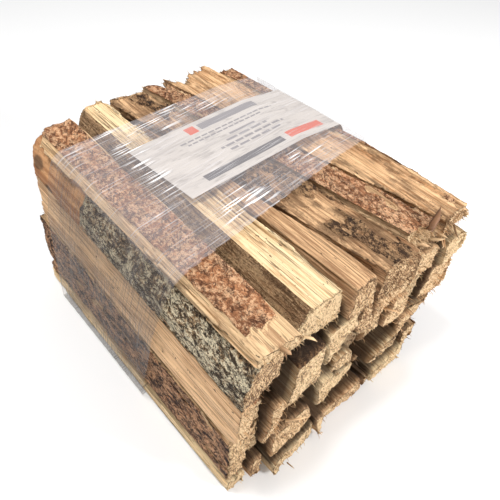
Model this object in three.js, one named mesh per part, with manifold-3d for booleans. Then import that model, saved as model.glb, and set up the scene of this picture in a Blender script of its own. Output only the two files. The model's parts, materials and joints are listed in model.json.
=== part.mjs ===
// A pack of split kindling: hewn sticks of bark-edged wood laid side by side, bound round the
// middle by a band of clear stretch film, with a paper label held under the film.
// Millimetres. +Z is up, the sticks run along Y and the pack rests on the underside of its film.

import * as THREE from "three";
import { ConvexGeometry } from "three/addons/geometries/ConvexGeometry.js";
import { mergeVertices } from "three/addons/utils/BufferGeometryUtils.js";
import Module from "manifold-3d";

const wasm = await Module();
wasm.setup();

// ---- driving dimensions -------------------------------------------------------------------

const LENGTH = 350; // a common stick, end to end
const MIDDLE = 115; // height at which the position of an upright cut is given
const GAP = 1.5; // clearance between two neighbouring sticks
const END_TILT = 0.1; // the most that a sawn end leans, as a slope
const FILM_INSIDE = 0.9; // from the sticks to the inside of the film
const FILM_THICKNESS = 0.6;
const FLOOR = FILM_INSIDE + FILM_THICKNESS; // underside of the lowest sticks
const LABEL_INSIDE = 0.3; // from the sticks to the back of the label
const LABEL_THICKNESS = 0.3;
const FILM_DIRECTIONS = 48; // flat facets round the film
const FILM_STATIONS = [-115, -60, 0, 60, 115, 160]; // where the film's section is measured
const DEGREE = Math.PI / 180;

// The edges of film and label are planes y = at + across * x + up * z.
const FILM_NEAR_EDGE = { at: -8, across: 0.15, up: -0.25 };
const FILM_FAR_EDGE = { at: 159, across: 0.04, up: -0.17 };
const LABEL_NEAR_EDGE = { at: -14, across: 0.05, up: 0 };
const LABEL_FAR_EDGE = { at: 79, across: 0.05, up: 0 };
const LABEL_LEFT = 72; // from the middle of the pack to the label's left edge
const LABEL_SKEW = 0.09; // how far the left edge drifts outwards for each millimetre of length
const LABEL_LOWEST = 186; // the label hangs down the right side to this height

// ---- finishes -----------------------------------------------------------------------------

const FINISHES = {
  pale: { color: 0xe3c490, roughness: 0.8 },
  tan: { color: 0xcfa173, roughness: 0.8 },
  orange: { color: 0xd79a5e, roughness: 0.8 },
  red_bark: { color: 0x96614a, roughness: 0.9 },
  brown_bark: { color: 0x6b4630, roughness: 0.9 },
  lichen_bark: { color: 0x6e6a5b, roughness: 0.95 },
  film: { color: 0xdcd8e2, roughness: 0.2 },
  paper: { color: 0xf4f2f0, roughness: 0.6 },
};

function finish(name) {
  return new THREE.MeshStandardMaterial({ ...FINISHES[name], metalness: 0 });
}

// ---- planes -------------------------------------------------------------------------------

// The plane through one point of the near end and one of the far end, holding the direction
// `along` in the section. Points are [x, z]; the normal is to the right of an upward direction.
function planeThrough(near, far, along) {
  const a = new THREE.Vector3(near[0], -LENGTH / 2, near[1]);
  const b = new THREE.Vector3(far[0], LENGTH / 2, far[1]);
  const direction = new THREE.Vector3(along[0], 0, along[1]);
  const normal = b.clone().sub(a).cross(direction).normalize();
  return new THREE.Plane().setFromNormalAndCoplanarPoint(normal, a);
}

// The plane moved by `distance` to the side that its normal points away from.
function inset(plane, distance) {
  return new THREE.Plane(plane.normal.clone(), plane.constant + distance);
}

function flipped(plane) {
  return plane.clone().negate();
}

// ---- sharing out the section --------------------------------------------------------------

// An upright cut at x = near at the near end and x = far at the far end, both at half height,
// leaning to the right by `lean` for each millimetre of height.
function upright(near, far, lean, left, right) {
  return { plane: planeThrough([near, MIDDLE], [far, MIDDLE], [lean, 1]), low: left, high: right };
}

// A level cut at z = near and z = far where x = at, climbing to the right by `climb` for each
// millimetre of width.
function level(at, near, far, climb, below, above) {
  const plane = flipped(planeThrough([at, near], [at, far], [1, climb]));
  return { plane, low: below, high: above };
}

// A stick: its finish, how far its near and far ends stand out past the common length, and
// what is hewn off it, each as [direction in degrees, depth, how far the direction points
// along the stick].
function stick(name, wood, nearOut, farOut, hewn = []) {
  return { name, wood, nearOut, farOut, hewn };
}

const topRow = upright(
  -32, -43, 0,
  stick("top_pale_split", "pale", -5, 3, [[152, 13], [20, 2]]),
  upright(
    3, -44, 0,
    stick("top_wedge_split", "tan", 5, -58, [[50, 4], [40, 5, -0.8]]),
    upright(
      50, -1, 0.05,
      stick("top_knotty_split", "tan", 7, 3, [[140, 3], [40, 1.5]]),
      upright(
        104, 38, -0.02,
        stick("top_red_bark_strip", "red_bark", -5, 6, [[120, 1.5], [65, 1]]),
        upright(
          62, 12, 0.79,
          stick("top_wide_split", "orange", -3, 14, [[110, 1], [55, 5]]),
          stick("shoulder_bark_split", "red_bark", -6, -5, [[40, 6]]),
        ),
      ),
    ),
  ),
);

const middleRow = upright(
  -50, -52, -0.06,
  stick("big_square_split", "pale", 9, -4, [[225, 3], [315, 6]]),
  upright(
    -16, -20, 0.1,
    level(-33, 152, 149, 0.8,
      stick("inner_split_1", "tan", -15, 6, [[100, 4]]),
      stick("inner_split_2", "pale", 6, -6, [[150, 4]])),
    upright(
      19, 14, -0.14,
      level(2, 148, 144, -0.35,
        stick("inner_split_3", "brown_bark", -18, 2, [[60, 3]]),
        stick("inner_split_4", "tan", 4, 7, [[200, 3]])),
      upright(
        54, 50, 0.16,
        level(36, 152, 150, 0.3,
          stick("inner_split_5", "pale", -7, -3, [[135, 4]]),
          stick("inner_split_6", "orange", 5, 0, [[240, 4]])),
        upright(
          92, 84, -0.12,
          level(74, 143, 140, -0.3,
            stick("inner_split_7", "tan", 1, 4, [[30, 5]]),
            stick("inner_split_8", "brown_bark", -20, -8, [[280, 4]])),
          level(120, 142, 141, 0.12,
            upright(
              127, 114, 0.18,
              stick("inner_split_24", "pale", -10, -3, [[150, 4]]),
              stick("right_split_1", "orange", -3, 0, [[40, 3], [340, 2]])),
            upright(
              131, 112, -0.15,
              stick("right_split_5", "tan", -4, 3, [[60, 5]]),
              stick("right_split_2", "pale", 3, 5, [[20, 5], [300, 3]]))),
        ),
      ),
    ),
  ),
);

const lowerRow = upright(
  -88, -84, 0.1,
  stick("inner_split_9", "orange", 4, -7, [[70, 5]]),
  upright(
    -54, -58, -0.15,
    level(-71, 93, 90, 0.35,
      stick("inner_split_10", "tan", -8, 5, [[330, 3]]),
      stick("inner_split_11", "brown_bark", -19, 0, [[110, 4]])),
    upright(
      -24, -22, 0.2,
      stick("inner_split_12", "pale", 8, 3, [[60, 7]]),
      upright(
        10, 8, -0.12,
        level(-7, 84, 81, -0.4,
          stick("inner_split_13", "orange", -14, -5, [[130, 3]]),
          stick("inner_split_14", "pale", 1, 6, [[20, 4]])),
        upright(
          44, 37, 0.14,
          stick("inner_split_15", "tan", -17, 1, [[240, 8], [60, 5]]),
          upright(
            80, 70, -0.1,
            level(61, 76, 79, 0.3,
              stick("inner_split_16", "pale", 8, 5, [[200, 4]]),
              stick("inner_split_17", "tan", -13, -6, [[90, 3]])),
            upright(
              113, 100, 0.12,
              stick("inner_split_18", "orange", 2, 0, [[100, 5]]),
              stick("right_split_3", "red_bark", -4, 6, [[10, 5], [320, 3]]),
            ),
          ),
        ),
      ),
    ),
  ),
);

const bottomRows = upright(
  -92, -96, 0.12,
  level(-110, 31, 34, -0.1,
    stick("base_split_1", "tan", 3, 4, [[270, 1], [210, 4]]),
    stick("inner_split_19", "pale", -12, -4, [[45, 5]])),
  upright(
    -50, -55, -0.1,
    level(-71, 27, 25, 0.2,
      stick("base_split_2", "pale", 12, -2, [[300, 3]]),
      stick("inner_split_20", "orange", 4, 7, [[80, 3]])),
    upright(
      -12, -14, 0.16,
      level(-31, 33, 31, -0.25,
        stick("base_split_3", "tan", 13, 6, [[225, 4]]),
        stick("inner_split_21", "brown_bark", -16, 0, [[150, 5]])),
      upright(
        24, 18, -0.16,
        level(6, 28, 31, 0.15,
          stick("base_split_4", "orange", 7, -6, [[320, 3]]),
          stick("inner_split_22", "pale", -5, 3, [[120, 3]])),
        upright(
          62, 52, 0.1,
          level(43, 31, 29, -0.12,
            stick("base_split_5", "brown_bark", 8, 2, [[250, 2], [300, 4]]),
            stick("inner_split_23", "tan", -12, -5, [[60, 4]])),
          upright(
            98, 90, -0.12,
            level(80, 29, 31, 0.12,
              stick("base_split_6", "pale", 9, 0, [[260, 1]]),
              stick("inner_split_25", "tan", -2, 3, [[120, 4]])),
            stick("right_split_4", "brown_bark", 3, 4, [[340, 4]]),
          ),
        ),
      ),
    ),
  ),
);

const leftColumn = level(
  -120, 214, 221, 0.03,
  level(
    -130, 166, 184, 0.02,
    level(
      -130, 100, 116, 0.02,
      level(
        -130, 20, 24, 0,
        stick("base_left_slat", "pale", -2, 13, [[200, 2]]),
        stick("left_red_bark_slab", "red_bark", -5, 9, [[205, 5], [160, 2]])),
      upright(
        -128, -126, 0.02,
        stick("left_pale_slab", "orange", 3, 2, [[170, 1.5], [180, 10, 1], [240, 9, -1.2]]),
        level(-116, 132, 148, 0.25,
          stick("left_inner_split_1", "red_bark", -8, -3, [[60, 4], [130, 3]]),
          stick("left_inner_split_2", "tan", -16, 3, [[240, 5]]))),
    ),
    stick("left_lichen_slab", "lichen_bark", 1, 1, [[140, 12], [190, 2], [50, 16, 1], [180, 12, 1]]),
  ),
  stick("top_red_bark_split", "red_bark", 4, -8, [[180, 8], [125, 3], [55, 4], [180, 14, 1]]),
);

const bundle = upright(
  -107, -104, 0.17,
  leftColumn,
  level(
    0, 112, 110, -0.2,
    level(0, 57, 60, -0.07, bottomRows, lowerRow),
    level(0, 188, 190, 0, middleRow, topRow),
  ),
);

// The hull that the sticks are packed into, as planes that face outwards.
const OUTLINE = [
  flipped(planeThrough([-149, MIDDLE], [-147, MIDDLE], [0.03, 1])), // left side, leaning in
  planeThrough([0, FLOOR], [0, FLOOR], [1, 0]), // underside
  planeThrough([163, 190], [141, 190], [-0.03, 1]), // right side
  planeThrough([118, FLOOR], [102, FLOOR], [44, 76]), // lower right shoulder
  flipped(planeThrough([0, 230], [0, 230], [1, -0.03])), // top, falling a little to the right
  planeThrough([162, 204], [140, 204], [-15, 24]), // upper right shoulder
  flipped(planeThrough([-147, 214], [-144, 216], [13, 20])), // upper left shoulder
];

// ---- sticks -------------------------------------------------------------------------------

// Pseudo-random numbers from -1 to 1, the same on every run.
function dice(seed) {
  let state = seed;
  return () => {
    state = (state * 16807) % 2147483647;
    return (state / 2147483647) * 2 - 1;
  };
}

const roll = dice(4127);

// Where three planes meet, or null where two of them are parallel.
function meeting(a, b, c) {
  const bc = b.normal.clone().cross(c.normal);
  const share = a.normal.dot(bc);
  if (Math.abs(share) < 1e-6) return null;
  const ca = c.normal.clone().cross(a.normal);
  const ab = a.normal.clone().cross(b.normal);
  return bc
    .multiplyScalar(-a.constant)
    .addScaledVector(ca, -b.constant)
    .addScaledVector(ab, -c.constant)
    .divideScalar(share);
}

// The corners of the convex body behind all the planes.
function cornersOf(planes) {
  const corners = [];
  planes.forEach((a, i) =>
    planes.slice(i + 1).forEach((b, j) =>
      planes.slice(i + j + 2).forEach((c) => {
        const p = meeting(a, b, c);
        if (p && planes.every((plane) => plane.distanceToPoint(p) < 1e-6)) corners.push(p);
      }),
    ),
  );
  return corners;
}

// The plane that takes `depth` off the body in a direction.
function hewnPlane(corners, [degrees, depth, forward = 0]) {
  const angle = degrees * DEGREE;
  const normal = new THREE.Vector3(Math.cos(angle), forward, Math.sin(angle)).normalize();
  const reach = Math.max(...corners.map((p) => p.dot(normal)));
  return new THREE.Plane(normal, depth - reach);
}

// A square end across the pack.
function squareEnd(side, out) {
  return new THREE.Plane(new THREE.Vector3(0, side, 0), -LENGTH / 2 - out);
}

// The same end sawn a few degrees off square about the middle of its face.
function sawnEnd(square, corners) {
  const face = corners.filter((p) => Math.abs(square.distanceToPoint(p)) < 1e-6);
  const middle = face.reduce((sum, p) => sum.add(p), new THREE.Vector3()).divideScalar(face.length);
  const tilt = new THREE.Vector3(roll() * END_TILT, 0, roll() * END_TILT);
  const normal = square.normal.clone().add(tilt).normalize();
  return new THREE.Plane().setFromNormalAndCoplanarPoint(normal, middle);
}

function stickCorners(planes, { nearOut, farOut, hewn }) {
  const ends = [squareEnd(-1, nearOut), squareEnd(1, farOut)];
  const blank = cornersOf([...planes, ...ends]);
  const sawn = [...planes, ...ends.map((end) => sawnEnd(end, blank))];
  const whole = cornersOf(sawn);
  return cornersOf([...sawn, ...hewn.map((cut) => hewnPlane(whole, cut))]);
}

// Follows the cuts down to the sticks, gathering the planes that bound each one.
function shareOut(branch, planes, sticks) {
  if (branch.name) {
    sticks.push({ ...branch, corners: stickCorners(planes, branch) });
    return sticks;
  }
  shareOut(branch.low, [...planes, inset(branch.plane, GAP / 2)], sticks);
  return shareOut(branch.high, [...planes, inset(flipped(branch.plane), GAP / 2)], sticks);
}

// ---- film and label -----------------------------------------------------------------------

// Where the chords between a stick's corners cross the plane at y: the stick's own section and
// points inside it.
function crossings(corners, y) {
  const before = corners.filter((p) => p.y <= y);
  const after = corners.filter((p) => p.y > y);
  return before.flatMap((a) => after.map((b) => a.clone().lerp(b, (y - a.y) / (b.y - a.y))));
}

// The taut outline round all the sticks at y, set `out` from them: one corner between each two
// neighbouring facet directions.
function tautOutline(points, out) {
  const turn = (2 * Math.PI) / FILM_DIRECTIONS;
  const reach = Array.from({ length: FILM_DIRECTIONS }, (_, i) => {
    const c = Math.cos(i * turn);
    const s = Math.sin(i * turn);
    return out + Math.max(...points.map((p) => p.x * c + p.z * s));
  });
  return reach.map((here, i) => {
    const next = reach[(i + 1) % FILM_DIRECTIONS];
    const along = (next - here * Math.cos(turn)) / Math.sin(turn);
    const c = Math.cos(i * turn);
    const s = Math.sin(i * turn);
    return [here * c - along * s, here * s + along * c];
  });
}

// A closed sleeve round the sticks, from `inside` to `outside` clear of them.
function sleeve(sticks, inside, outside) {
  const rings = FILM_STATIONS.flatMap((y) => {
    const points = sticks.flatMap((one) => crossings(one.corners, y));
    return [inside, outside].map((out) => tautOutline(points, out).map(([x, z]) => [x, y, z]));
  });
  const last = rings.length - 2;
  const bands = FILM_STATIONS.slice(1).flatMap((_, k) => [
    [2 * k, 2 * k + 2],
    [2 * k + 3, 2 * k + 1],
  ]);
  bands.push([1, 0], [last, last + 1]);
  const index = bands.flatMap(([a, b]) => band(a * FILM_DIRECTIONS, b * FILM_DIRECTIONS));
  const geometry = new THREE.BufferGeometry();
  geometry.setAttribute("position", new THREE.Float32BufferAttribute(rings.flat(2), 3));
  geometry.setIndex(index);
  return geometry;
}

// The triangles between two rings of vertices.
function band(a, b) {
  return Array.from({ length: FILM_DIRECTIONS }, (_, i) => {
    const j = (i + 1) % FILM_DIRECTIONS;
    return [a + i, a + j, b + i, a + j, b + j, b + i];
  }).flat();
}

function solidOf(geometry) {
  const merged = mergeVertices(geometry);
  return new wasm.Manifold(
    new wasm.Mesh({
      numProp: 3,
      vertProperties: merged.attributes.position.array,
      triVerts: new Uint32Array(merged.index.array),
    }),
  );
}

function geometryOf(solid) {
  const mesh = solid.getMesh();
  const geometry = new THREE.BufferGeometry();
  geometry.setAttribute("position", new THREE.BufferAttribute(mesh.vertProperties, 3));
  geometry.setIndex(new THREE.BufferAttribute(mesh.triVerts, 1));
  return geometry;
}

// Keeps what lies past the edge plane, on the side of growing y.
function keepBeyond(solid, { at, across, up }) {
  const length = Math.hypot(across, 1, up);
  return solid.trimByPlane([-across / length, 1 / length, -up / length], at / length);
}

// Keeps what lies before the edge plane.
function keepBefore(solid, { at, across, up }) {
  const length = Math.hypot(across, 1, up);
  return solid.trimByPlane([across / length, -1 / length, up / length], -at / length);
}

function filmGeometry(sticks) {
  const whole = solidOf(sleeve(sticks, FILM_INSIDE, FILM_INSIDE + FILM_THICKNESS));
  return geometryOf(keepBefore(keepBeyond(whole, FILM_NEAR_EDGE), FILM_FAR_EDGE));
}

function labelGeometry(sticks) {
  const whole = solidOf(sleeve(sticks, LABEL_INSIDE, LABEL_INSIDE + LABEL_THICKNESS));
  const strip = keepBefore(keepBeyond(whole, LABEL_NEAR_EDGE), LABEL_FAR_EDGE);
  const length = Math.hypot(1, LABEL_SKEW);
  return geometryOf(
    strip
      .trimByPlane([0, 0, 1], LABEL_LOWEST)
      .trimByPlane([1 / length, LABEL_SKEW / length, 0], -LABEL_LEFT / length),
  );
}

// ---- the pack -----------------------------------------------------------------------------

function named(name, geometry, wood) {
  const mesh = new THREE.Mesh(geometry, finish(wood));
  mesh.name = name;
  return mesh;
}

const sticks = shareOut(bundle, OUTLINE, []);
const pack = new THREE.Group();
sticks.forEach((one) => pack.add(named(one.name, new ConvexGeometry(one.corners), one.wood)));
pack.add(named("stretch_film", filmGeometry(sticks), "film"));
pack.add(named("label", labelGeometry(sticks), "paper"));

// The origin is on the floor, under the middle of the pack.
const box = new THREE.Box3().setFromObject(pack, true);
const centre = box.getCenter(new THREE.Vector3());
pack.position.set(-centre.x, -centre.y, -box.min.z);

export default pack;
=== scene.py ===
"""A pack of split kindling: hewn sticks with bark, lichen and torn ends, bound round the middle by
clear stretch film over a paper label. Metres; +Z is up and the sticks run along Y."""

import json
import math

import bpy
import numpy as np
from mathutils import Matrix, Vector


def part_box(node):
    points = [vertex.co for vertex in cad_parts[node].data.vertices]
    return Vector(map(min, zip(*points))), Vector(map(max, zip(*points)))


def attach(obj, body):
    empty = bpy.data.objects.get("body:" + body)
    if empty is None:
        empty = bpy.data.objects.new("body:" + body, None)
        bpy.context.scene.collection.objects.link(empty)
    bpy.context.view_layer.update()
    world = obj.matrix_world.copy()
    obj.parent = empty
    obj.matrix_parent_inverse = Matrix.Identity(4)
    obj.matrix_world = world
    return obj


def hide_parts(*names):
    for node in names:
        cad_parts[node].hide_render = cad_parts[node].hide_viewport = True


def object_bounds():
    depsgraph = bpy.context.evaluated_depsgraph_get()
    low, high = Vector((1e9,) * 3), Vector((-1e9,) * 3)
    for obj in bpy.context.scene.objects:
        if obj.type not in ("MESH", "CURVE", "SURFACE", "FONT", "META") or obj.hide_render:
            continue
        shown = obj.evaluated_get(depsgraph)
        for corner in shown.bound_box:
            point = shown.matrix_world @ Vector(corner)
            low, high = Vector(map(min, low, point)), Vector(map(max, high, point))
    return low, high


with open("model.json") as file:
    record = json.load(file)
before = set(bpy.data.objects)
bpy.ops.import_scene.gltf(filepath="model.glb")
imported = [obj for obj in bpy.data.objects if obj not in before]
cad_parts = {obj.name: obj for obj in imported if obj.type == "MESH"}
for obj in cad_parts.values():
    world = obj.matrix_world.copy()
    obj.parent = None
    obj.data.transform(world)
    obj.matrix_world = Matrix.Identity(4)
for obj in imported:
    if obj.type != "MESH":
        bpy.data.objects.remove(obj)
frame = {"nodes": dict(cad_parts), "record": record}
CAD_BOX = [list(corner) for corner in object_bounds()]
MM = 0.001

# ---- camera and lights -----------------------------------------------------------------------

CAMERA_AT = Vector((-0.2933, -0.3107, 0.5492))
CAMERA_AZIMUTH = math.radians(-45.0)
CAMERA_ELEVATION = math.radians(45.93)
CAMERA_ROLL = math.radians(5.19)
CAMERA_LENS = 38.94

# name, place, size and power in watts
LIGHTS = [
    ("overhead", (-0.35, 0.1, 1.6), 0.3, 18),
    ("front", (0.7, -1.6, 0.8), 0.35, 34),
]
SKY = 0.56

# ---- sticks ----------------------------------------------------------------------------------

CELL = 1.8 * MM  # the mesh's cells across a stick
FINE_CELL = 1.4 * MM  # the same on the sticks that are seen along their whole length
CELL_STRETCH = 3  # a cell is this many times longer along the grain
SEEN_ALONG = ("top_", "left_lichen", "left_pale", "left_red", "base_left", "shoulder", "right_")
TORN_REACH = 45 * MM  # how far in from an end the grain may be torn
FIRST_SEED = 100  # the sticks' random draws start from this number and the ones after it


class Bark:
    """The bark that a stick keeps: its kind, the way it faces in the section, in degrees from +X
    towards +Z, and how far round it reaches to each side. `left` and `right` cut it off across
    that facing, as shares of the stick's half width, and `near` and `far` short of the ends.
    `widens` is how much further to the right it reaches at the far end."""

    def __init__(self, kind, facing, reach, left=-2, right=2, near=0, far=0, cover=1.0, widens=0):
        self.kind = kind
        angle = math.radians(facing)
        self.facing = facing
        self.out = np.array([math.cos(angle), 0, math.sin(angle)])
        self.across = np.array([math.sin(angle), 0, -math.cos(angle)])
        self.least = math.cos(math.radians(reach))
        self.left = left
        self.right = right
        self.near = near * MM
        self.far = far * MM
        self.cover = cover
        self.widens = widens


BARK = {
    "top_red_bark_split": Bark("red", 104, 50, left=-0.55, right=0.5, near=26, widens=2.2),
    "top_pale_split": Bark("inner", 152, 30),
    "top_knotty_split": Bark("brown", 110, 70, cover=0.5),
    "top_red_bark_strip": Bark("red", 92, 50, cover=0.96),
    "top_wide_split": Bark("red", 70, 60, left=0.62, cover=0.8),
    "shoulder_bark_split": Bark("red", 45, 60, cover=0.9),
    "left_lichen_slab": Bark("lichen", 140, 88, far=112),
    "left_red_bark_slab": Bark("scale", 180, 70, cover=0.94),
    "left_inner_split_1": Bark("red", 120, 70),
    "big_square_split": Bark("brown", 92, 45),
    "inner_split_3": Bark("brown", 80, 60),
    "inner_split_8": Bark("brown", 260, 60),
    "inner_split_11": Bark("red", 110, 60),
    "inner_split_21": Bark("brown", 120, 60),
    "inner_split_24": Bark("red", 90, 60),
    "base_split_5": Bark("brown", 270, 70),
    "right_split_3": Bark("red", 350, 70, cover=0.8),
    "right_split_4": Bark("scale", 330, 75),
    "right_split_2": Bark("red", 300, 40),
}

# How deeply the near and far ends are torn, in millimetres, where that isn't the usual.
USUAL_TEAR = (6, 7)
TEARS = {
    "top_pale_split": (3, 5),
    "top_wedge_split": (5, 12),
    "top_knotty_split": (8, 12),
    "top_red_bark_strip": (14, 22),
    "top_wide_split": (6, 26),
    "top_red_bark_split": (7, 10),
    "left_lichen_slab": (5, 8),
    "big_square_split": (3, 6),
    "shoulder_bark_split": (8, 14),
}

# A notch torn out of the far end: its place across the stick, half width and depth.
NOTCHES = {
    "top_wide_split": (0.34, 7 * MM, 17 * MM),
    "top_red_bark_strip": (0.75, 5 * MM, 9 * MM),
}

# Weathered patches: the share of the surface that is stained.
USUAL_STAIN = 0.35
STAINS = {
    "top_pale_split": 0.05,
    "top_knotty_split": 1.0,
    "top_wide_split": 0.65,
    "top_wedge_split": 0.3,
    "left_pale_slab": 0.2,
    "big_square_split": 0.1,
}

# Knots: the place along the stick, from the near end, across its box and up it, and the radius.
KNOTS = {
    "top_knotty_split": [(0.095, 0.42, 1.0, 7 * MM)],
    "left_lichen_slab": [(0.93, 0.1, 0.7, 9 * MM), (0.86, 0.05, 0.35, 6 * MM)],
    "left_red_bark_slab": [(0.55, 0.0, 0.5, 16 * MM)],
    "right_split_5": [(0.3, 0.7, 1.0, 8 * MM)],
}

# ---- film and label --------------------------------------------------------------------------

FILM_SIDES = 320
FILM_RINGS = 100
FILM_RIPPLE = 0.9 * MM
FILM_TINT = (0.56, 0.52, 0.53)
# painted shade of the film where it faces sideways
FILM_SIDE_SHADE = (0.13, 0.11, 0.10)
FILM_WHITE = (1.0, 1.0, 1.0)
# An edge is the plane y = at + across * x + up * z, with `at` in millimetres.
FILM_NEAR_EDGE = (-5.5, 0.15, -0.25)
FILM_FAR_EDGE = (157.8, 0.04, -0.17)
# How far its stretch marks climb along the pack for each metre across it and up it.
STRETCH_CLIMB = [[0.12], [0], [-0.22]]
# Where the film is creased white: the middle, across and along, and how far that reaches.
CREASES = [((-85, 55), (16, 60)), ((-50, -45), (45, 24)), ((-30, 100), (80, 16)),
           ((50, -35), (40, 16))]
LABEL_UNDER = 0.6 * MM  # from the outside of the film down to the label
LABEL_NEAR_EDGE = (-13.6, 0.05, 0)
LABEL_FAR_EDGE = (79.4, 0.05, 0)
LABEL_LEFT = 78.3 * MM  # from the middle of the pack to the label's left edge
LABEL_SKEW = 0.09  # how far that edge drifts outwards for each millimetre of length
PAPER = (0.61, 0.565, 0.52)
PAPER_SHADE = (0.36, 0.33, 0.305)

# Plain marks on the label: from and to across it, from and to along it, in millimetres, how far
# apart the breaks in a rule are, and the ink.
INK = (0.06, 0.06, 0.07)
SOFT_INK = (0.22, 0.21, 0.22)
ORANGE_INK = (0.62, 0.08, 0.025)
MARKS = [
    (64, 76, 76, 88, 0, ORANGE_INK),
    (80, 160, 77, 87, 0, SOFT_INK),
    (44, 172, 67.2, 69.4, 9, SOFT_INK),
    (50, 150, 62.2, 64.4, 8, SOFT_INK),
    (96, 132, 52.5, 55.5, 0, SOFT_INK),
    (84, 142, 45.5, 48.5, 17, SOFT_INK),
    (72, 160, 38.5, 41.5, 13, SOFT_INK),
    (78, 150, 31.5, 34.5, 15, SOFT_INK),
    (28, 132, 9.5, 18.5, 0, INK),
    (140, 192, 9.5, 20, 0, ORANGE_INK),
]

# ---- a few tools -----------------------------------------------------------------------------


def only(obj):
    """Leaves one object selected and active."""
    bpy.ops.object.select_all(action="DESELECT")
    obj.select_set(True)
    bpy.context.view_layer.objects.active = obj


def edit(obj):
    """Opens one object in edit mode with everything selected."""
    only(obj)
    bpy.ops.object.mode_set(mode="EDIT")
    bpy.ops.mesh.select_all(action="SELECT")


def close_edit():
    bpy.ops.object.mode_set(mode="OBJECT")


def pick(obj, kind, chosen):
    """Opens one object in edit mode with only the chosen vertices or edges selected."""
    only(obj)
    bpy.ops.object.mode_set(mode="EDIT")
    bpy.ops.mesh.select_mode(type=kind)
    bpy.ops.mesh.select_all(action="DESELECT")
    bpy.ops.object.mode_set(mode="OBJECT")
    items = obj.data.vertices if kind == "VERT" else obj.data.edges
    items.foreach_set("select", chosen)
    bpy.ops.object.mode_set(mode="EDIT")


def applied(obj, kind, **settings):
    """Adds a modifier and applies it."""
    modifier = obj.modifiers.new(kind.lower(), kind)
    for key, value in settings.items():
        setattr(modifier, key, value)
    only(obj)
    bpy.ops.object.modifier_apply(modifier=modifier.name)


def placed(obj):
    """Puts an object's place into its mesh."""
    only(obj)
    bpy.ops.object.transform_apply(location=True, rotation=True, scale=True)


def dress(piece, material):
    """Gives a piece its material and the pack's one body."""
    piece.data.materials.clear()
    piece.data.materials.append(material)
    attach(piece, "root")


def smoothed(piece):
    """Shades a piece smooth."""
    only(piece)
    bpy.ops.object.shade_smooth()
    return piece


def copy_of(node, name):
    """A copy of a CAD node with its vertices merged."""
    piece = bpy.data.objects.new(name, frame["nodes"][node].data.copy())
    bpy.context.scene.collection.objects.link(piece)
    edit(piece)
    bpy.ops.mesh.remove_doubles(threshold=0.01 * MM)
    close_edit()
    return piece


def coordinates(mesh):
    co = np.zeros(len(mesh.vertices) * 3)
    mesh.vertices.foreach_get("co", co)
    return co.reshape(-1, 3)


def move_to(mesh, co):
    mesh.vertices.foreach_set("co", co.ravel())
    mesh.update()


def normals(mesh):
    normal = np.zeros(len(mesh.vertices) * 3, np.float32)
    mesh.vertices.foreach_get("normal", normal)
    return normal.reshape(-1, 3)


def store(mesh, name, values):
    """Keeps one number, or one vector, for each vertex as an attribute."""
    kind, field = ("FLOAT", "value") if values.ndim == 1 else ("FLOAT_VECTOR", "vector")
    attribute = mesh.attributes.new(name, kind, "POINT")
    attribute.data.foreach_set(field, values.astype(np.float32).ravel())


def stored(mesh, name, wide=1):
    """The numbers, or the vectors where `wide` is 3, kept as an attribute."""
    values = np.zeros(len(mesh.vertices) * wide)
    mesh.attributes[name].data.foreach_get("vector" if wide == 3 else "value", values)
    return values if wide == 1 else values.reshape(-1, wide)


def group(piece, name, weights):
    """Keeps weights from 0 to 1 as a vertex group, in steps of a tenth."""
    made = piece.vertex_groups.new(name=name)
    tenths = np.round(np.clip(weights, 0, 1) * 10).astype(int)
    for tenth in range(1, 11):
        found = np.nonzero(tenths == tenth)[0].tolist()
        if found:
            made.add(found, tenth / 10, "REPLACE")


def ease(low, high, values):
    t = np.clip((values - low) / (high - low), 0, 1)
    return t * t * (3 - 2 * t)


def lumps(points, size, seed=0):
    """Smooth noise from 0 to 1 over points, with lumps of a size in millimetres: one, or three."""
    place = points / (np.asarray(size, float) * MM)
    cell = np.floor(place).astype(np.int64)
    part = place - cell
    part = part * part * (3 - 2 * part)
    total = np.zeros(len(points))
    for corner in np.ndindex(2, 2, 2):
        x, y, z = (cell + corner).T
        mixed = (x * 73856093) ^ (y * 19349663) ^ (z * 83492791) ^ (seed * 26544357)
        mixed = (mixed ^ (mixed >> 13)) * 1274126177
        value = ((mixed ^ (mixed >> 16)) & 0xFFFF) / 0xFFFF
        total += value * np.prod(np.where(corner, part, 1 - part), axis=1)
    return total


STICK_NODES = sorted(node for node in frame["nodes"] if node not in ("stretch_film", "label"))
SLOTS = {part["node"]: part["material_slot"] for part in frame["record"]["subparts"]}


# ---- shader arithmetic -----------------------------------------------------------------------


class Value:
    """A number or colour that varies over a surface; arithmetic on numbers adds Math nodes."""

    def __init__(self, finish, socket):
        self.finish = finish
        self.socket = socket

    def __add__(self, other):
        return self.finish.math("ADD", self, other)

    __radd__ = __add__

    def __sub__(self, other):
        return self.finish.math("SUBTRACT", self, other)

    def __rsub__(self, other):
        return self.finish.math("SUBTRACT", other, self)

    def __mul__(self, other):
        return self.finish.math("MULTIPLY", self, other)

    __rmul__ = __mul__

    def __truediv__(self, other):
        return self.finish.math("DIVIDE", self, other)

    def __pow__(self, other):
        return self.finish.math("POWER", self, other)

    def step(self, low, high):
        """0 below low, 1 above high and smooth in between."""
        settings = {"interpolation_type": "SMOOTHSTEP"}
        inputs = {"Value": self, "From Min": low, "From Max": high}
        return self.finish.value("ShaderNodeMapRange", settings, inputs, "Result")


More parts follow.
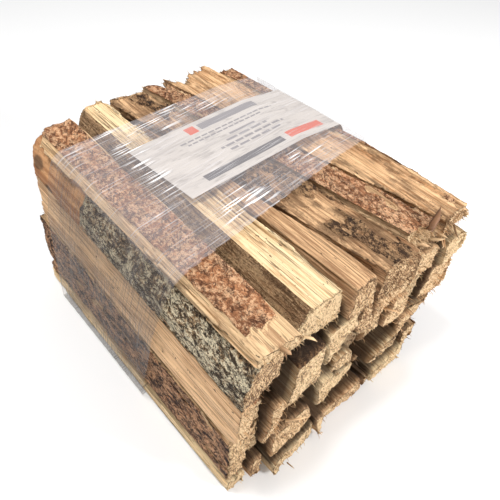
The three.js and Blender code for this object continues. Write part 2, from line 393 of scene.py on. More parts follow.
class Finish:
    """A material under construction."""

    def __init__(self, name):
        self.material = bpy.data.materials.new(name)
        self.material.use_nodes = True
        self.tree = self.material.node_tree
        self.shader = self.tree.nodes["Principled BSDF"]

    def node(self, kind, settings=None, inputs=None):
        """Any node: its settings are set first, then the values or links of its sockets."""
        made = self.tree.nodes.new(kind)
        for key, value in (settings or {}).items():
            setattr(made, key, value)
        for key, value in (inputs or {}).items():
            self.feed(made.inputs[key], value)
        return made

    def feed(self, socket, value):
        if isinstance(value, Value):
            self.tree.links.new(value.socket, socket)
        else:
            socket.default_value = value

    def value(self, kind, settings=None, inputs=None, output=0):
        return Value(self, self.node(kind, settings, inputs).outputs[output])

    def math(self, operation, first, second=0.0):
        return self.value("ShaderNodeMath", {"operation": operation}, {0: first, 1: second})

    def attribute(self, name, output="Vector"):
        return self.value("ShaderNodeAttribute", {"attribute_name": name}, None, output)

    def scaled(self, vector, x, y, z):
        return self.vector("MULTIPLY", vector, (x, y, z))

    def vector(self, operation, first, second, output="Vector"):
        inputs = {0: first, 1: second}
        return self.value("ShaderNodeVectorMath", {"operation": operation}, inputs, output)

    def noise(self, vector, scale, detail=3, roughness=0.55, bend=0.0):
        inputs = {"Vector": vector, "Scale": scale, "Detail": detail, "Roughness": roughness}
        inputs["Distortion"] = bend
        return self.value("ShaderNodeTexNoise", None, inputs)

    def cells(self, vector, scale):
        """How far each point is from the nearest of many scattered points."""
        inputs = {"Vector": vector, "Scale": scale}
        return self.value("ShaderNodeTexVoronoi", None, inputs, "Distance")

    def blend(self, share, first, second):
        """A colour between two others."""
        inputs = {0: share, 6: opaque(first), 7: opaque(second)}
        return self.value("ShaderNodeMix", {"data_type": "RGBA"}, inputs, 2)

    def bump(self, height, distance, strength=1.0):
        inputs = {"Height": height, "Distance": distance, "Strength": strength}
        self.feed(self.shader.inputs["Normal"], self.value("ShaderNodeBump", None, inputs))

    def set(self, **sockets):
        for key, value in sockets.items():
            self.feed(self.shader.inputs[key.replace("_", " ")], value)
        return self.material


def opaque(value):
    return value if isinstance(value, Value) else (*value, 1.0)


# ---- wood and bark ---------------------------------------------------------------------------

# Light and dark streaks of each wood.
WOODS = {
    "pale_wood": ((0.90, 0.68, 0.40), (0.48, 0.28, 0.13)),
    "tan_wood": ((0.72, 0.45, 0.24), (0.29, 0.15, 0.07)),
    "orange_wood": ((0.86, 0.55, 0.30), (0.38, 0.19, 0.08)),
    "red_bark_wood": ((0.76, 0.52, 0.29), (0.36, 0.20, 0.10)),
    "brown_bark_wood": ((0.58, 0.38, 0.21), (0.26, 0.15, 0.08)),
    "lichen_bark_wood": ((0.64, 0.43, 0.26), (0.33, 0.19, 0.10)),
}
SPECK = (0.07, 0.035, 0.018)
STAIN = (0.14, 0.075, 0.035)
# end colours: END_DARK is painted shade in the pits of the end relief, END_LIGHT partly painted
# highlight on its high points
END_LIGHT = (1.0, 0.74, 0.44)
END_MID = (0.62, 0.37, 0.185)
END_DARK = (0.09, 0.04, 0.016)
INNER_BARK = (0.36, 0.15, 0.06)
INNER_BARK_LIGHT = (0.66, 0.36, 0.17)
# painted shade, laid over a stick's colour where it lies deep between the others
SHADOW = (0.035, 0.018, 0.009)


class BarkColours:
    """Plates, cracks and bright scales of a bark; `bright` and `blotched` are how strongly the
    scales and dark blotches show, `size` how many fit in a metre across the grain, and `short`
    how short they are along it."""

    def __init__(self, plate, crack, scale, bright, blotched, size, short=0.6):
        self.plate = plate
        self.crack = crack
        self.scale = scale
        self.bright = bright
        self.blotched = blotched
        self.size = size
        self.short = short


BARKS = {
    "red": BarkColours((0.58, 0.25, 0.11), (0.085, 0.026, 0.010), (0.98, 0.62, 0.36),
                       0.7, 0.6, 190, 0.7),
    "brown": BarkColours((0.30, 0.155, 0.07), (0.035, 0.015, 0.007), (0.60, 0.36, 0.18),
                         0.7, 0.9, 200),
    "inner": BarkColours((0.42, 0.24, 0.12), (0.12, 0.06, 0.025), (0.66, 0.43, 0.23),
                         0.8, 0.9, 260, 0.08),
    "scale": BarkColours((0.38, 0.17, 0.08), (0.03, 0.012, 0.008), (0.74, 0.42, 0.23),
                         0.85, 1.0, 130),
    "lichen": BarkColours((0.52, 0.33, 0.17), (0.035, 0.022, 0.013), (1.0, 0.86, 0.60),
                          1.0, 0.95, 210),
}


def wood_finish(name, wood, bark):
    """Split wood with its sawn ends, and bark where the stick keeps it."""
    light, dark = WOODS[wood]
    kind = BARKS[bark]
    finish = Finish(name)
    grain = finish.attribute("grain")
    tone = finish.attribute("tone", "Fac")
    stained = finish.attribute("stain", "Fac")
    knot = finish.attribute("knot", "Fac")
    painted_shade = finish.attribute("painted_shade", "Fac")

    # split wood: fibres, growth rings and stains drawn out along the grain
    fibres = finish.noise(finish.scaled(grain, 1, 1, 0.035), 480, 4, 0.72)
    streaks = finish.noise(finish.scaled(grain, 1, 1, 0.02), 190, 3, 0.65)
    broad = finish.noise(finish.scaled(grain, 1, 1, 0.16), 34, 3)
    reach = finish.vector("LENGTH", finish.scaled(grain, 1, 1, 0), (0, 0, 0), "Value")
    ring = finish.math("FRACT", (reach + (broad - 0.5) * 0.008) * 300)
    late = ring ** 5
    shade = fibres * 1.3 + streaks * 0.8 + broad * 0.45 - late * 0.2 + tone * 0.1
    surface = finish.blend(shade.step(1.0, 1.40), dark, light)
    checks = finish.noise(finish.scaled(grain, 1, 1, 0.015), 330, 2, 0.5)
    lines = finish.math("ABSOLUTE", checks - 0.5).step(0.036, 0.006) * streaks.step(0.40, 0.54)
    surface = finish.blend(lines * (0.9 - stained * 0.7), surface, STAIN)
    patches = finish.noise(finish.scaled(grain, 1, 1, 0.4), 70, 5, 0.65)
    stain = (patches + stained * 0.22).step(0.66, 0.80)
    surface = finish.blend(stain * 0.7, surface, STAIN)
    torn = finish.noise(finish.scaled(grain, 1, 1, 0.22), 300, 3, 0.6)
    ticks = finish.math("ABSOLUTE", torn - 0.5).step(0.03, 0.0) * (patches + stained * 0.5)
    surface = finish.blend(ticks.step(0.55, 0.95) * 0.75, surface, STAIN)
    specks = finish.noise(finish.scaled(grain, 1, 1, 0.4), 380, 2).step(0.69, 0.72)
    surface = finish.blend(specks * 0.9, surface, SPECK)
    whorl = finish.math("FRACT", knot * 4)
    surface = finish.blend(knot.step(0.02, 0.5) * (0.6 + whorl * 0.3), surface, STAIN)

    # sawn and torn ends: short ticks of broken fibre, the end grain's mottling painted darkest in
    # the low pits of the end relief, as painted shade, and palest on its high points, as painted
    # highlight
    fuzz = finish.noise(finish.scaled(grain, 1, 0.5, 0.12), 560, 4, 0.78)
    grit = finish.noise(grain, 420, 4, 0.8)
    mottle = finish.noise(grain, 90, 3)
    end_shade = fuzz * 1.1 + grit * 0.9 + mottle * 0.5 - late * 0.1 + tone * 0.08
    end_colour = finish.blend(end_shade.step(1.10, 1.21), END_DARK, END_MID)
    end_colour = finish.blend(end_shade.step(1.20, 1.33), end_colour, END_LIGHT)
    end_colour = finish.blend(0.15, end_colour, light)
    end = finish.attribute("end", "Fac").step(0.3, 0.6)
    surface = finish.blend(end, surface, end_colour)

    # bark: blotches and bright scales, with curling cracks
    warp = finish.noise(finish.scaled(grain, 1, 1, 0.8), 260, 3)
    spread = finish.value("ShaderNodeCombineXYZ", None, {0: warp * 0.012, 1: 0, 2: warp * 0.016})
    bent = finish.vector("ADD", finish.scaled(grain, 1, 1, kind.short * 1.25), spread)
    scales = finish.cells(bent, kind.size * 1.5)
    flakes = finish.noise(finish.scaled(grain, 1, 1, kind.short), kind.size, 5, 0.8, 0.6)
    curls = finish.noise(bent, 95, 3, 0.6, 0.8)
    cracks = finish.math("ABSOLUTE", curls - 0.5).step(0.034, 0.006) * mottle.step(0.32, 0.5)
    fine = finish.math("ABSOLUTE", warp - 0.5).step(0.035, 0.0) * patches.step(0.44, 0.6)
    bark_shade = flakes * 1.1 + mottle * 0.4 - scales * 0.3 + tone * 0.04
    blotches = bark_shade.step(0.68, 0.48) * kind.blotched
    weathered = finish.noise(finish.scaled(grain, 1, 1, 0.5), 32, 3).step(0.44, 0.64)
    bark_colour = finish.blend(weathered * 0.42, kind.plate, kind.crack)
    bark_colour = finish.blend(blotches, bark_colour, kind.crack)
    bright = (flakes * 0.9 + patches * 0.35 + grit * 0.5).step(0.84, 0.95)
    bark_colour = finish.blend(bright * kind.bright, bark_colour, kind.scale)
    bark_colour = finish.blend(cracks * 0.85, bark_colour, kind.crack)
    bark_colour = finish.blend(fine * 0.6, bark_colour, kind.crack)
    peeled = (finish.attribute("peeled", "Fac") + (mottle - 0.5) * 0.5).step(0.45, 0.55)
    inner = finish.blend((streaks + broad).step(0.85, 1.2), INNER_BARK, INNER_BARK_LIGHT)
    inner = finish.blend(knot.step(0.05, 0.4) * 0.7, inner, kind.crack)
    bark_colour = finish.blend(peeled, bark_colour, inner)
    edge = finish.attribute("bark", "Fac") + (flakes - 0.5) * 0.5 + (grit - 0.5) * 0.2
    barked = edge.step(0.46, 0.54)
    surface = finish.blend(barked, surface, bark_colour)
    # painted shade: the colour turns towards SHADOW where the stick lies deep in the pack
    finish.set(Base_Color=finish.blend(painted_shade * 0.9, surface, SHADOW))
    finish.set(Roughness=0.66 + barked * 0.16 + end * 0.2, Specular_IOR_Level=0.3)
    wood_height = fibres * 1.6 + streaks * 0.8 - lines * 0.6 + end * (fuzz * 3.0 + grit * 2.4)
    bark_height = flakes * 4.0 + grit * 2.4 - cracks * 1.8 - scales * 1.4
    rough_bark = barked * (1 - peeled * 0.75)
    finish.bump(wood_height * (1 - barked) + bark_height * rough_bark, 1.1 * MM, 1.0)
    return finish.material


finishes = {}


def finish_for(node):
    """The material of a stick, made once for each pair of wood and bark."""
    wood = SLOTS[node]
    bark = BARK[node].kind if node in BARK else "brown"
    key = f"{wood}_{bark}"
    if key not in finishes:
        finishes[key] = wood_finish(key, wood, bark)
    return finishes[key]


# ---- sticks: shape ---------------------------------------------------------------------------


def stretched_space(name, scale):
    """An empty whose space is stretched, for the textures of Displace."""
    empty = bpy.data.objects.new(name, None)
    bpy.context.scene.collection.objects.link(empty)
    empty.scale = scale
    return empty


def relief(name, kind, size, **settings):
    texture = bpy.data.textures.new(name, kind)
    texture.noise_scale = size
    for key, value in settings.items():
        setattr(texture, key, value)
    return texture


SPACES = {along: stretched_space(f"space_{along}", (1, along, 1)) for along in (1, 3, 14)}
RELIEFS = [
    # vertex group, stretch of the space, depth, texture
    ("split", 14, 1.5 * MM, relief("torn_grain", "CLOUDS", 3.6 * MM, noise_depth=3)),
    ("bark", 3, 1.5 * MM, relief("bark_plates", "CLOUDS", 7 * MM,
                                 noise_basis="VORONOI_F2_F1", noise_depth=1)),
    ("bark", 1, 1.5 * MM, relief("bark_grit", "CLOUDS", 3.2 * MM, noise_depth=2)),
    ("end", 1, 2.6 * MM, relief("sawn_fuzz", "CLOUDS", 2.6 * MM, noise_depth=2)),
]
SMOOTHINGS = 9  # how far the direction of the relief is evened out round a corner
SWELL_DEPTH = 3.4 * MM  # of the broad hollows in a stick
RIVEN_DEPTH = 2.8 * MM  # of the steps where the grain tore
BARE_DEPTH = 1.6 * MM  # how far bare wood lies below the bark beside it
SPREAD = 2.4 * MM  # how far the sticks swell towards each other inside the pack
OUTLINE_WAYS = 72  # directions in which the pack's outline is measured


def wear_corners(piece, width):
    """Knocks the corners off a stick before it is remeshed."""
    edit(piece)
    bpy.ops.mesh.dissolve_limited(angle_limit=math.radians(2))
    close_edit()
    applied(piece, "BEVEL", width=width, segments=2, limit_method="ANGLE",
            angle_limit=math.radians(12))


def remesh(piece, cell):
    """An even mesh of cells drawn out along the grain."""
    piece.data.transform(Matrix.Diagonal((1, 1 / CELL_STRETCH, 1, 1)))
    applied(piece, "REMESH", mode="VOXEL", voxel_size=cell)
    piece.data.transform(Matrix.Diagonal((1, CELL_STRETCH, 1, 1)))


def bark_mask(bark, co, normal, seed):
    """Where a stick keeps its bark, with a ragged border."""
    middle = (co.min(0) + co.max(0)) / 2
    half = np.abs((co - middle) @ bark.across).max()
    across = (co - middle) @ bark.across / half
    ragged = (lumps(co, (5, 12, 5), seed) - 0.5) * 0.16
    mask = ease(bark.least - 0.12, bark.least + 0.12, normal @ bark.out)
    mask *= ease(bark.left - 0.04, bark.left + 0.04, across + ragged)
    along = (co[:, 1] - co[:, 1].min()) / np.ptp(co[:, 1])
    mask *= ease(-0.04, 0.04, bark.right + bark.widens * along - across + ragged)
    y = co[:, 1] + ragged * 60 * MM
    if bark.near:
        mask *= ease(bark.near - 2 * MM, bark.near + 2 * MM, y - co[:, 1].min())
    if bark.cover < 1:
        patches = lumps(co, (14, 45, 14), seed + 5) * 0.6 + lumps(co, (5, 14, 5), seed + 6) * 0.4
        mask *= ease(-0.03, 0.03, np.quantile(patches, bark.cover) - patches)
    peeled = np.zeros(len(co))
    if bark.far:
        peeled = ease(-4 * MM, 4 * MM, y - (co[:, 1].max() - bark.far))
    return mask, peeled


def knot_mask(node, co):
    """1 at the middle of each knot, falling to 0 round it."""
    low, high = co.min(0), co.max(0)
    mask = np.zeros(len(co))
    for along, across, up, radius in KNOTS.get(node, []):
        at = low + (high - low) * np.array([across, along, up])
        mask = np.maximum(mask, 1 - np.linalg.norm((co - at) * [1, 0.6, 1], axis=1) / radius)
    return np.clip(mask, 0, 1)


def mark_faces(piece, node, seed):
    """Tells sawn ends, bark and split sides apart by the way that they face."""
    co = coordinates(piece.data)
    normal = normals(piece.data)
    end = ease(0.55, 0.8, np.abs(normal[:, 1]))
    bark = np.zeros(len(normal))
    peeled = np.zeros(len(normal))
    if node in BARK:
        bark, peeled = bark_mask(BARK[node], co, normal, seed)
        bark = bark * (1 - end)
    store(piece.data, "end", end)
    store(piece.data, "bark", bark)
    store(piece.data, "peeled", peeled)
    store(piece.data, "knot", knot_mask(node, co))
    group(piece, "end", end)
    group(piece, "bark", bark * (1 - 0.7 * peeled))
    group(piece, "split", (1 - bark) * (1 - end))
    group(piece, "bare", np.clip(1 - bark - end, 0, 1))


def inward(mesh):
    """For each vertex, the way into the stick across the grain, turning gently round corners."""
    normal = normals(mesh).astype(float) * [1, 0, 1]
    ends = np.zeros(len(mesh.edges) * 2, np.int32)
    mesh.edges.foreach_get("vertices", ends)
    first, second = ends.reshape(-1, 2).T
    for _ in range(SMOOTHINGS):
        total = normal.copy()
        for axis in (0, 2):
            total[:, axis] += np.bincount(first, normal[second, axis], len(normal))
            total[:, axis] += np.bincount(second, normal[first, axis], len(normal))
        normal = total / np.maximum(np.linalg.norm(total, axis=1), 1e-9)[:, None]
    return -normal


def outline():
    """The way that each side of the pack's outline faces, and how far out it lies at the near
    and the far end."""
    angles = np.linspace(0, 2 * math.pi, OUTLINE_WAYS, endpoint=False)
    ways = np.stack([np.cos(angles), np.zeros(OUTLINE_WAYS), np.sin(angles)])
    co = np.concatenate([coordinates(frame["nodes"][node].data) for node in STICK_NODES])
    near = co[:, 1] < 0
    return ways, (co[near] @ ways).max(0), (co[~near] @ ways).max(0)


def depth_inside(co, least_up=-2):
    """How far each point lies inside the pack's outline, or inside the sides that face up."""
    ways, near, far = OUTLINE
    used = ways[2] > least_up
    along = (co[:, 1:2] - CAD_BOX[0][1]) / (CAD_BOX[1][1] - CAD_BOX[0][1])
    out = near[used] + (far - near)[used] * along
    return (out - co @ ways[:, used]).min(1)


def painted_shade_in(mesh, co):
    """Painted shade: 1 where a point is lost in the dark between the sticks, on their sides or on
    ends set back in the pack, 0 where it is in full light.
    """
    end = stored(mesh, "end")
    inside = depth_inside(co)
    behind = np.minimum(co[:, 1] - CAD_BOX[0][1], CAD_BOX[1][1] - co[:, 1])
    own = np.minimum(co[:, 1] - co[:, 1].min(), co[:, 1].max() - co[:, 1])
    sides = ease(8 * MM, 16 * MM, inside) * ease(20 * MM, 34 * MM, depth_inside(co, 0.5))
    ends = ease(8 * MM, 24 * MM, inside) * ease(22 * MM, 44 * MM, behind)
    return sides * ease(1 * MM, 11 * MM, own) * (1 - end) + ends * end


def hew(piece, seed):
    """Presses broad hollows and riven steps into a stick."""
    mesh = piece.data
    co = coordinates(mesh)
    split = 1 - stored(mesh, "bark")
    swell = lumps(co, (24, 75, 24), seed + 10)
    riven = 1 - np.abs(2 * lumps(co, (10, 130, 10), seed + 11) - 1)
    riven = ease(0.25, 1.0, riven) * 0.65 + lumps(co, (5, 80, 5), seed + 12) * 0.35
    depth = SWELL_DEPTH * swell + RIVEN_DEPTH * riven * split
    depth -= SPREAD * ease(1 * MM, 8 * MM, depth_inside(co))
    move_to(mesh, co + inward(mesh) * depth[:, None])


def carve(piece, node):
    """Presses the relief of split faces, bark and ends into a stick."""
    for vertex_group, along, depth, texture in RELIEFS:
        if vertex_group == "bark" and node not in BARK:
            continue
        applied(piece, "DISPLACE", texture=texture, texture_coords="OBJECT",
                texture_coords_object=SPACES[along], vertex_group=vertex_group,
                strength=-depth, mid_level=0.0, direction="NORMAL")
    if node in BARK:
        applied(piece, "DISPLACE", vertex_group="bare", strength=-BARE_DEPTH, mid_level=0.0)


def tear_ends(co, node, seed):
    """Shortens the last stretch of grain by a depth that varies over the section."""
    section = co * [1, 0, 1]
    low, high = co[:, 1].min(), co[:, 1].max()
    for side, end, tear in zip((-1, 1), (low, high), TEARS.get(node, USUAL_TEAR)):
        flat = section + [0, side * 0.5, 0]
        steps = np.floor(lumps(flat, 9, seed) * 5) / 5
        depth = 0.42 * lumps(flat, 16, seed + 1) + 0.3 * steps + 0.28 * lumps(flat, 3, seed + 2)
        share = ease(0, 1, 1 - np.abs(co[:, 1] - end) / TORN_REACH)
        co[:, 1] -= side * tear * 1.4 * MM * np.maximum(depth - 0.25, 0) * share
    if node in NOTCHES:
        across, half, deep = NOTCHES[node]
        last = co[co[:, 1] > high - 20 * MM]
        place = last[:, 0].min() + np.ptp(last[:, 0]) * across
        share = ease(0, 1, 1 - (high - co[:, 1]) / TORN_REACH)
        co[:, 1] -= deep * ease(1, 0.35, np.abs(co[:, 0] - place) / half) * share
    return co


def pith_of(node, co, dice):
    """The middle of the log that a stick was split from, in the section."""
    middle = (co.min(0) + co.max(0)) / 2
    turn = dice.uniform(0, 2 * math.pi)
    if node in BARK:
        turn = math.radians(BARK[node].facing + 180)
    radius = dice.uniform(45, 90) * MM
    return middle + radius * np.array([math.cos(turn), 0, math.sin(turn)])


def make_stick(node, seed):
    dice = np.random.default_rng(seed)
    piece = copy_of(node, f"{node}_wood")
    dress(piece, finish_for(node))
    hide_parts(node)
    wear_corners(piece, dice.uniform(1.2, 3.2) * MM)
    remesh(piece, FINE_CELL if node.startswith(SEEN_ALONG) else CELL)
    mark_faces(piece, node, seed)
    hew(piece, seed)
    carve(piece, node)
    mesh = piece.data
    co = tear_ends(coordinates(mesh), node, seed)
    move_to(mesh, co)
    pith = pith_of(node, co, dice)
    store(mesh, "grain", (co - pith)[:, [0, 2, 1]] + [0, 0, dice.uniform(-1, 1)])
    store(mesh, "tone", np.full(len(co), dice.uniform(-1, 1)))
    store(mesh, "stain", np.full(len(co), STAINS.get(node, USUAL_STAIN)))
    store(mesh, "painted_shade", painted_shade_in(mesh, co))
    piece.vertex_groups.clear()
    add_fibres(piece, node, dice)
    add_splinters(piece, node, dice)
    smoothed(piece)


# ---- sticks: broken fibres -------------------------------------------------------------------

FIBRE_AREA = 34 * MM * MM  # of sawn end to each fibre that stands out of it
FIBRE_LENGTH = (1.2 * MM, 8 * MM)
FIBRE_WIDTH = (0.4 * MM, 1.2 * MM)
FIBRE_SPLAY = 0.5
BLADE_CORNERS = 7  # of a splinter: three at the foot, three at the bend and the tip
# How many times more fibres than usual a stick has, and how many times longer.
SHAGGY = {
    "top_red_bark_strip": (5, 1.7),
    "top_wide_split": (3, 1.3),
    "top_knotty_split": (2, 1.2),
    "shoulder_bark_split": (2.5, 1.2),
    "inner_split_6": (3, 1.5),
    "inner_split_9": (3, 1.6),
    "right_split_1": (2, 1.3),
}
# Splinters that stand up at the near end: how far in they grow, in millimetres, the place across
# that end and up it, the way they point, their length and width in millimetres and whether they
# are bark, which also lays painted shade on them.
SPLINTERS = {
    "top_red_bark_strip": [
        (9, 0.66, 1.0, (0.9, 0.15, 0.55), 24, 15, 1),
        (1, 0.7, 0.95, (-0.3, -0.8, 0.5), 12, 4, 0),
        (0, 0.9, 0.7, (-0.6, -0.7, -0.2), 15, 3, 0),
        (1, 0.45, 0.9, (0.3, -0.8, 0.4), 12, 4, 0),
        (2, 0.3, 0.95, (0.6, -0.7, 0.3), 10, 5, 0),
    ],
    "top_wide_split": [
        (0, 0.2, 0.8, (-0.5, -0.7, -0.3), 14, 4, 0),
        (0, 0.1, 0.4, (-0.7, -0.6, -0.2), 12, 4, 0),
    ],
    "top_red_bark_split": [
        (1, 0.95, 0.8, (0.5, -0.9, 0.1), 9, 6, 0),
        (2, 0.5, 0.9, (0.1, -1.0, 0.2), 8, 8, 0),
    ],
    "base_split_2": [(0, 0.3, 0.3, (0.2, -0.9, -0.1), 9, 3, 0)],
    "inner_split_9": [(0, 0.5, 0.9, (0.8, -0.6, 0.2), 20, 3, 0)],
    "inner_split_6": [(0, 0.2, 0.6, (0.7, -0.7, -0.2), 18, 3, 0)],
}


def blades(at, first, second, length, width, dice):
    """The points of tapering three-sided splinters that bend half way."""
    first = first / np.linalg.norm(first, axis=1)[:, None]
    second = second / np.linalg.norm(second, axis=1)[:, None]
    flat = np.cross(first, dice.normal(0, 1, (len(at), 3)))
    flat /= np.linalg.norm(flat, axis=1)[:, None]
    thick = np.cross(first, flat)
    half = width[:, None] / 2
    ring = [flat * half, (thick * 0.5 - flat * 0.5) * half, (-thick * 0.5 - flat * 0.5) * half]
    foot = at - first * 1.5 * MM
    elbow = at + first * (length * 0.55)[:, None]
    tip = elbow + second * (length * 0.45)[:, None]
    corners = [foot + offset for offset in ring] + [elbow + offset * 0.8 for offset in ring] + [tip]
    return np.stack(corners, 1).reshape(-1, 3)


def join_blades(piece, points, roots, changes):
    """Joins splinters to a stick. Each is finished like the vertex that it grows from, apart
    from the changes."""
    pattern = [(0, 1, 4, 3), (1, 2, 5, 4), (2, 0, 3, 5), (3, 4, 6), (4, 5, 6), (5, 3, 6), (0, 2, 1)]
    faces = [tuple(corner + BLADE_CORNERS * place for corner in face)
             for place in range(len(roots)) for face in pattern]
    made = bpy.data.meshes.new("blades")
    made.from_pydata(points.tolist(), [], faces)
    mesh = piece.data
    for name in ("end", "bark", "peeled", "knot", "tone", "stain", "painted_shade", "grain"):
        rooted = stored(mesh, name, 3 if name == "grain" else 1)[roots]
        if name in changes:
            rooted = np.broadcast_to(changes[name], rooted.shape)
        store(made, name, np.repeat(rooted, BLADE_CORNERS, axis=0))
    tuft = bpy.data.objects.new("tuft", made)
    bpy.context.scene.collection.objects.link(tuft)
    tuft.data.materials.append(mesh.materials[0])
    only(piece)
    tuft.select_set(True)
    bpy.ops.object.join()


def add_fibres(piece, node, dice):
    """Stands broken fibres out of both ends of a stick, as part of its mesh."""
    mesh = piece.data
    co = coordinates(mesh)
    sawn = np.nonzero(stored(mesh, "end") > 0.5)[0]
    more, longer = SHAGGY.get(node, (1, 1))
    count = int(len(sawn) * CELL * CELL / FIBRE_AREA * more)
    if not count:
        return
    roots = dice.choice(sawn, count)
    side = np.sign(normals(mesh)[roots, 1])
    along = np.stack([np.zeros(count), side, np.zeros(count)], 1)
    lean = dice.normal(0, FIBRE_SPLAY, (count, 3)) * [1, 0, 1] - [0, 0, 0.25]
    length = FIBRE_LENGTH[0] + (FIBRE_LENGTH[1] - FIBRE_LENGTH[0]) * dice.random(count) ** 4
    width = dice.uniform(*FIBRE_WIDTH, count)
    points = blades(co[roots], along + lean * 0.45, along * 0.7 + lean * 1.5, length * longer,
                    width, dice)
    # the fibres get a little painted shade
    join_blades(piece, points, roots, {"end": 0.1, "painted_shade": 0.1, "bark": 0})


def add_splinters(piece, node, dice):
    """Stands the larger splinters out of a stick, as part of its mesh."""
    places = SPLINTERS.get(node)
    if not places:
        return
    co = coordinates(piece.data)
    roots = []
    for inset, across, up, *_ in places:
        y = co[:, 1].min() + inset * MM
        section = np.nonzero(np.abs(co[:, 1] - y) < 6 * MM)[0]
        low, high = co[section].min(0), co[section].max(0)
        at = low + (high - low) * [across, 0.5, up]
        at[1] = y
        roots.append(section[np.argmin(np.linalg.norm(co[section] - at, axis=1))])
    ways, length, width, bark = zip(*(place[3:] for place in places))
    ways = np.array(ways)
    bent = ways + dice.normal(0, 0.25, ways.shape)
    points = blades(co[roots], ways, bent, np.array(length) * MM, np.array(width) * MM, dice)
    # bark splinters get painted shade
    shaded = np.array(bark) * 0.75
    join_blades(piece, points, roots, {"end": 0, "painted_shade": shaded, "bark": bark})


# ---- film and label: shape -------------------------------------------------------------------


def taut_band(name):
    """A fine open band drawn tight round the film's solid, longer than the film at both edges."""
    low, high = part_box("stretch_film")
    middle = (low + high) / 2
    hull = copy_of("stretch_film", "film_hull")
    edit(hull)
    bpy.ops.mesh.convex_hull()
    close_edit()
    bpy.ops.object.select_all(action="DESELECT")
    bpy.ops.mesh.primitive_cylinder_add(vertices=FILM_SIDES, radius=(high - low).length,
                                        depth=high.y - low.y - 2 * MM, end_fill_type="NOTHING",
                                        location=middle, rotation=(math.pi / 2, 0, 0))
    band = bpy.context.active_object
    band.name = name
    placed(band)
    mesh = band.data
    ends = [[mesh.vertices[i].co.y for i in edge.vertices] for edge in mesh.edges]
    pick(band, "EDGE", np.ptp(ends, axis=1) > MM)
    bpy.ops.mesh.subdivide(number_cuts=FILM_RINGS)
    close_edit()
    applied(band, "SHRINKWRAP", target=hull, wrap_method="PROJECT", use_negative_direction=True,
            use_positive_direction=False)
    bpy.data.objects.remove(hull)
    missed = np.abs(coordinates(mesh) - middle) > np.array(high - low) / 2 + MM
    pick(band, "VERT", missed.any(1))
    bpy.ops.mesh.delete(type="VERT")
    close_edit()
    return band


def cut(piece, edge, beyond):
    """Cuts a sheet along the plane y = at + across * x + up * z and drops what lies past it."""
    at, across, up = edge
    edit(piece)
    bpy.ops.mesh.bisect(plane_co=(0, at * MM, 0), plane_no=(-across, 1, -up),
                        clear_outer=beyond, clear_inner=not beyond)
    close_edit()


def rippled(piece, scale, size, height):
    """Gives a sheet fine ripples that stand proud of what it lies on."""
    space = stretched_space("ripple_space", scale)
    texture = relief("ripples", "CLOUDS", size, noise_depth=2)
    applied(piece, "DISPLACE", texture=texture, texture_coords="OBJECT",
            texture_coords_object=space, strength=height, mid_level=0.0)
    bpy.data.objects.remove(space)
    co = coordinates(piece.data)
    co[:, 2] = np.maximum(co[:, 2], 0.05 * MM)
    move_to(piece.data, co)


def make_film(material):
    film = taut_band("stretch_film_band")
    dress(film, material)
    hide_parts("stretch_film")
    cut(film, FILM_FAR_EDGE, True)
    cut(film, FILM_NEAR_EDGE, False)
    rippled(film, (28, 1, 28), 5 * MM, FILM_RIPPLE)
    co = coordinates(film.data)
    wound = co - [0, 1, 0] * (co @ STRETCH_CLIMB)
    store(film.data, "wrap", wound)
    creased = np.zeros(len(co))
    for middle, reach in CREASES:
        away = (co[:, :2] - np.array(middle) * MM) / (np.array(reach) * MM)
        top = ease(0.10, 0.16, co[:, 2])
        creased = np.maximum(creased, np.exp(-(away ** 2).sum(1)) * top)
    store(film.data, "creased", creased)
    store(film.data, "painted_top_light", ease(0.35, 0.85, normals(film.data)[:, 2]))
    return smoothed(film)


def make_label(material):
    label = taut_band("label_sheet")
    dress(label, material)
    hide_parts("label")
    applied(label, "DISPLACE", strength=-LABEL_UNDER, mid_level=0.0)
    cut(label, LABEL_FAR_EDGE, True)
    cut(label, LABEL_NEAR_EDGE, False)
    edit(label)
    left = ((-LABEL_LEFT, 0, 0), (1, LABEL_SKEW, 0))
    lower = ((0, 0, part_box("label")[0].z), (0, 0, 1))
    for place, kept_side in (left, lower):
        bpy.ops.mesh.select_all(action="SELECT")
        bpy.ops.mesh.bisect(plane_co=place, plane_no=kept_side, clear_inner=True)
    close_edit()
    co = coordinates(label.data)
    at, climb, _ = LABEL_NEAR_EDGE
    across = co[:, 0] + LABEL_SKEW * co[:, 1] + LABEL_LEFT
    along = co[:, 1] - climb * co[:, 0] - at * MM
    store(label.data, "print", np.stack([across, along, np.zeros(len(co))], 1))
    return smoothed(label)


# ---- film and label: finish ------------------------------------------------------------------


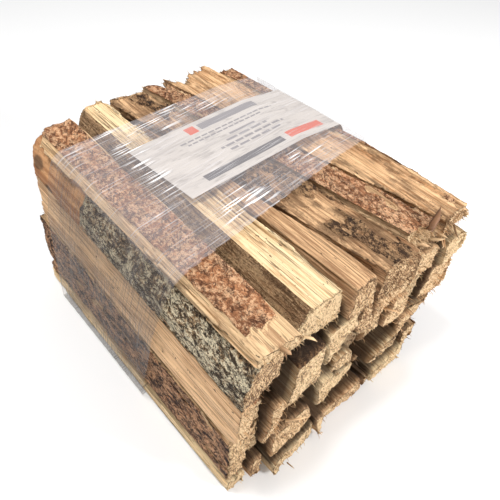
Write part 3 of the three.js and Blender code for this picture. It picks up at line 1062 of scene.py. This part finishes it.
def film_finish():
    """Clear film: a faint haze, crossed by fine stretch marks that run round the pack, with painted
    shade and dark streaks of painted shade on the sides and painted sheen strengthening the white
    marks on the top.
    """
    finish = Finish("stretch_film")
    wrap = finish.attribute("wrap")
    creased = finish.attribute("creased", "Fac")
    painted_top_light = finish.attribute("painted_top_light", "Fac")
    haze = finish.noise(finish.scaled(wrap, 0.2, 1, 0.2), 50, 3)
    hair = finish.noise(finish.scaled(wrap, 0.02, 1, 0.02), 620, 3, 0.75)
    lines = finish.noise(finish.scaled(wrap, 0.035, 1, 0.035), 520, 2, 0.6)
    where = finish.noise(finish.scaled(wrap, 0.8, 1, 0.8), 26, 2)
    bright = lines.step(0.57, 0.62) * (where + creased * 0.5).step(0.62, 0.95)
    hairs = hair.step(0.52, 0.64) * (where + creased * 0.3 + painted_top_light * 0.2).step(0.35, 0.8)
    # white marks: stretch marks, made stronger on the top faces as painted sheen
    white = finish.math("MINIMUM", (bright + hairs * 0.4) * (0.35 + painted_top_light * 0.65), 1)
    # dark streaks only on the sides: painted shade
    dark = hair.step(0.54, 0.38) * where.step(0.30, 0.62) * (1 - painted_top_light)
    cover = 0.15 + haze * 0.14 + white * 0.6 + dark * 0.36
    # the film's colour on top, with painted shade on the sides
    tint_and_side_shade = finish.blend(painted_top_light, FILM_SIDE_SHADE, FILM_TINT)
    finish.set(Base_Color=finish.blend(white, tint_and_side_shade, FILM_WHITE), Alpha=cover)
    finish.set(Roughness=0.3, Specular_IOR_Level=0.25)
    finish.bump(hair * 0.6 + lines, 0.3 * MM, 0.5)
    return finish.material


def label_finish():
    """White paper with plain bars and rules where the printing is, and painted shade along its
    wrinkles and folds.
    """
    finish = Finish("label_paper")
    place = finish.attribute("print")
    parts = finish.node("ShaderNodeSeparateXYZ", None, {0: place})
    across = Value(finish, parts.outputs[0])
    along = Value(finish, parts.outputs[1])
    cloud = finish.noise(place, 40, 3)
    fibre = finish.noise(place, 900, 3)
    wave = finish.noise(finish.scaled(place, 0.1, 1, 1), 110, 3)
    # painted shade: thin dark lines along the folds
    folds = finish.math("ABSOLUTE", wave - 0.5).step(0.04, 0.0) * cloud.step(0.40, 0.58)
    # paper fibre, with painted shade over the wrinkles' waves
    surface = finish.blend(fibre * 0.2 + wave.step(0.48, 0.68) * 0.5, PAPER, PAPER_SHADE)
    surface = finish.blend(folds * 0.85, surface, PAPER_SHADE)
    soft = 0.35 * MM
    for left, right, low, high, breaks, ink in MARKS:
        inside = across.step(left * MM - soft, left * MM + soft)
        inside = inside * across.step(right * MM + soft, right * MM - soft)
        inside = inside * along.step(low * MM - soft, low * MM + soft)
        inside = inside * along.step(high * MM + soft, high * MM - soft)
        if breaks:
            word = finish.math("FRACT", (across + cloud * 0.004) / (breaks * MM))
            inside = inside * word.step(0.16, 0.2)
        surface = finish.blend(inside * 0.92, surface, ink)
    finish.set(Base_Color=surface, Roughness=0.85, Specular_IOR_Level=0.15)
    finish.bump(cloud + wave * 0.8 + fibre * 0.1, 0.8 * MM, 0.5)
    return finish.material


# ---- floor, light and camera -----------------------------------------------------------------


def make_floor():
    bpy.ops.mesh.primitive_plane_add(size=8, location=(0, 0, -0.2 * MM))
    floor = bpy.context.active_object
    floor.name = "floor"
    floor.data.materials.append(Finish("floor").set(Base_Color=(0.9, 0.9, 0.9, 1), Roughness=0.9))


def make_light(name, at, size, watts):
    data = bpy.data.lights.new(name, "AREA")
    data.size = size
    data.energy = watts
    light = bpy.data.objects.new(name, data)
    bpy.context.scene.collection.objects.link(light)
    light.location = at
    light.rotation_mode = "QUATERNION"
    light.rotation_quaternion = (-Vector(at)).to_track_quat("-Z", "Y")


def make_world():
    world = bpy.data.worlds.new("studio")
    world.use_nodes = True
    background = world.node_tree.nodes["Background"]
    background.inputs["Color"].default_value = (1, 1, 1, 1)
    background.inputs["Strength"].default_value = SKY
    bpy.context.scene.world = world


def make_camera():
    data = bpy.data.cameras.new("camera")
    data.lens = CAMERA_LENS
    data.sensor_width = 36
    data.clip_start = 0.01
    camera = bpy.data.objects.new("camera", data)
    bpy.context.scene.collection.objects.link(camera)
    a, e = CAMERA_AZIMUTH, CAMERA_ELEVATION
    back = Vector((math.sin(a) * math.cos(e), -math.cos(a) * math.cos(e), math.sin(e)))
    right = Vector((math.cos(a), math.sin(a), 0))
    turned = Matrix((right, back.cross(right), back)).transposed()
    camera.rotation_mode = "QUATERNION"
    camera.rotation_quaternion = (turned @ Matrix.Rotation(CAMERA_ROLL, 3, "Z")).to_quaternion()
    camera.location = CAMERA_AT
    bpy.context.scene.camera = camera


# ---- run -------------------------------------------------------------------------------------

OUTLINE = outline()
for place, node in enumerate(STICK_NODES):
    make_stick(node, FIRST_SEED + place)
for empty in SPACES.values():
    bpy.data.objects.remove(empty)
film = make_film(film_finish())
label = make_label(label_finish())
make_floor()
make_world()
for light in LIGHTS:
    make_light(*light)
make_camera()
bpy.context.scene.view_settings.view_transform = "Standard"
